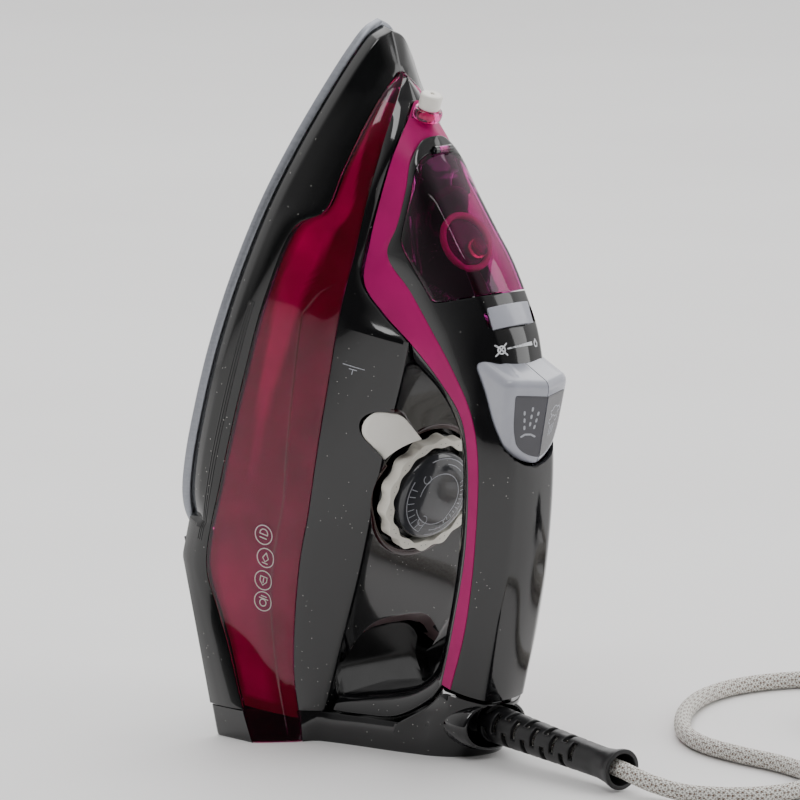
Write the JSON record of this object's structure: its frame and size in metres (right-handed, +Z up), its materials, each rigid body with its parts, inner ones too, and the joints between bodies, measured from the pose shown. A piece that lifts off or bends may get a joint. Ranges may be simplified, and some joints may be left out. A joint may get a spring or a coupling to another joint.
{
  "type": "steam iron",
  "caption": "Steam iron standing on its heel, with soleplate, tinted side bands, loop handle, filler lid, dial, buttons and a braided lead on a swivel guard.",
  "frame": {"origin": "on the floor under the middle of the iron without its lead", "axes": "+Z up and almost along the soleplate to its tip, which leans 15.5 degrees; +X from the soleplate to the handle; +Y across the iron"},
  "size_m": [0.3463, 0.3034, 0.2968],
  "materials": {
    "gloss_black": "gloss moulded",
    "dark_plastic": "satin moulded",
    "magenta_trim": "satin moulded",
    "burgundy_band": "clear tinted gloss",
    "reflector": "satin moulded",
    "plum_lid": "clear tinted gloss",
    "light_grey": "satin moulded",
    "smoke_panel": "gloss",
    "ivory": "moulded",
    "white_plastic": "moulded",
    "steel": "brushed",
    "aluminium": "cast",
    "brass": "plain",
    "black_rubber": "soft moulded",
    "silicone": "soft moulded",
    "clear_hose": "clear soft tube",
    "braid": "braided textile"
  },
  "bodies": {
    "iron": {"soleplate": "steel", "heater_casting": "aluminium", "chamber_gasket": "silicone", "steam_chamber_cover": "aluminium", "heating_element": "steel", "thermostat": "brass", "thermal_fuse": "white_plastic", "skirt": "gloss_black", "rear_underside": "dark_plastic", "side_band_left": "burgundy_band", "side_band_right": "burgundy_band", "band_reflector_left": "reflector", "band_reflector_right": "reflector", "tank_hood": "gloss_black", "tank_tray": "dark_plastic", "tank_seal": "silicone", "filler_funnel": "reflector", "dial_bezel": "dark_plastic", "pointer_lens": "white_plastic", "pilot_lamp": "clear_hose", "handle_top_shell": "gloss_black", "lid_hinge_pin": "steel", "trim_strip": "magenta_trim", "handle_inner_skin": "gloss_black", "spray_pump": "ivory", "spray_pump_spring": "steel", "steam_pump": "ivory", "steam_pump_spring": "steel", "valve_seat": "brass", "spray_hose": "clear_hose", "steam_hose": "clear_hose", "nozzle_collar": "magenta_trim", "spray_nozzle": "white_plastic", "heel_cover": "gloss_black", "terminal_block": "white_plastic", "cord_clamp": "dark_plastic"},
    "dial": {"dial_base": "gloss_black", "dial_ring": "ivory", "dial_cap": "smoke_panel", "dial_spindle": "steel"},
    "lid": {"filler_lid": "plum_lid"},
    "slider": {"steam_slider": "light_grey", "slider_cam": "white_plastic"},
    "valve": {"valve_rod": "steel"},
    "spray_key": {"spray_button": "light_grey", "spray_button_pad": "smoke_panel", "spray_pump_rod": "white_plastic"},
    "steam_key": {"steam_button": "light_grey", "steam_button_pad": "smoke_panel", "steam_pump_rod": "white_plastic"},
    "lead": {"swivel_ball": "dark_plastic", "cord_guard": "black_rubber", "cord": "braid", "cord_coil": "braid", "cord_tail": "braid", "plug_relief": "black_rubber", "plug_body": "black_rubber", "plug_pin_left": "steel", "plug_pin_right": "steel"}
  },
  "joints": [
    {"name": "dial_turn", "type": "hinge", "parent": "iron", "child": "dial", "pos_m": [0.00253, 0, 0.10619], "axis": [0.9636, 0, -0.2672], "range_deg": [0, 270]},
    {"name": "lid_open", "type": "hinge", "parent": "iron", "child": "lid", "pos_m": [0.01834, 0, 0.24626], "axis": [0, -1, 0], "range_deg": [0, 80]},
    {"name": "steam_slide", "type": "hinge", "parent": "iron", "child": "slider", "pos_m": [0.04115, 0, 0.17424], "axis": [-0.3976, 0, 0.9176], "range_deg": [0, 20]},
    {"name": "valve_turn", "type": "hinge", "parent": "iron", "child": "valve", "pos_m": [0.00999, 0, 0.18922], "axis": [0.9636, 0, -0.2672], "range_deg": [0, 20]},
    {"name": "spray_press", "type": "slide", "parent": "iron", "child": "spray_key", "axis": [-0.9636, 0, 0.2672], "range_m": [0, 0.003], "stiffness_N_per_m": 1500, "springref_m": -0.002},
    {"name": "steam_press", "type": "slide", "parent": "iron", "child": "steam_key", "axis": [-0.9636, 0, 0.2672], "range_m": [0, 0.003], "stiffness_N_per_m": 1500, "springref_m": -0.002},
    {"name": "lead_swivel", "type": "hinge", "parent": "iron", "child": "lead", "pos_m": [0.03425, 0, 0.015], "axis": [0, 0, 1], "range_deg": [-15, 15]}
  ],
  "couplings": [
    {"joint": "valve_turn", "follows": "steam_slide", "ratio": 1}
  ]
}
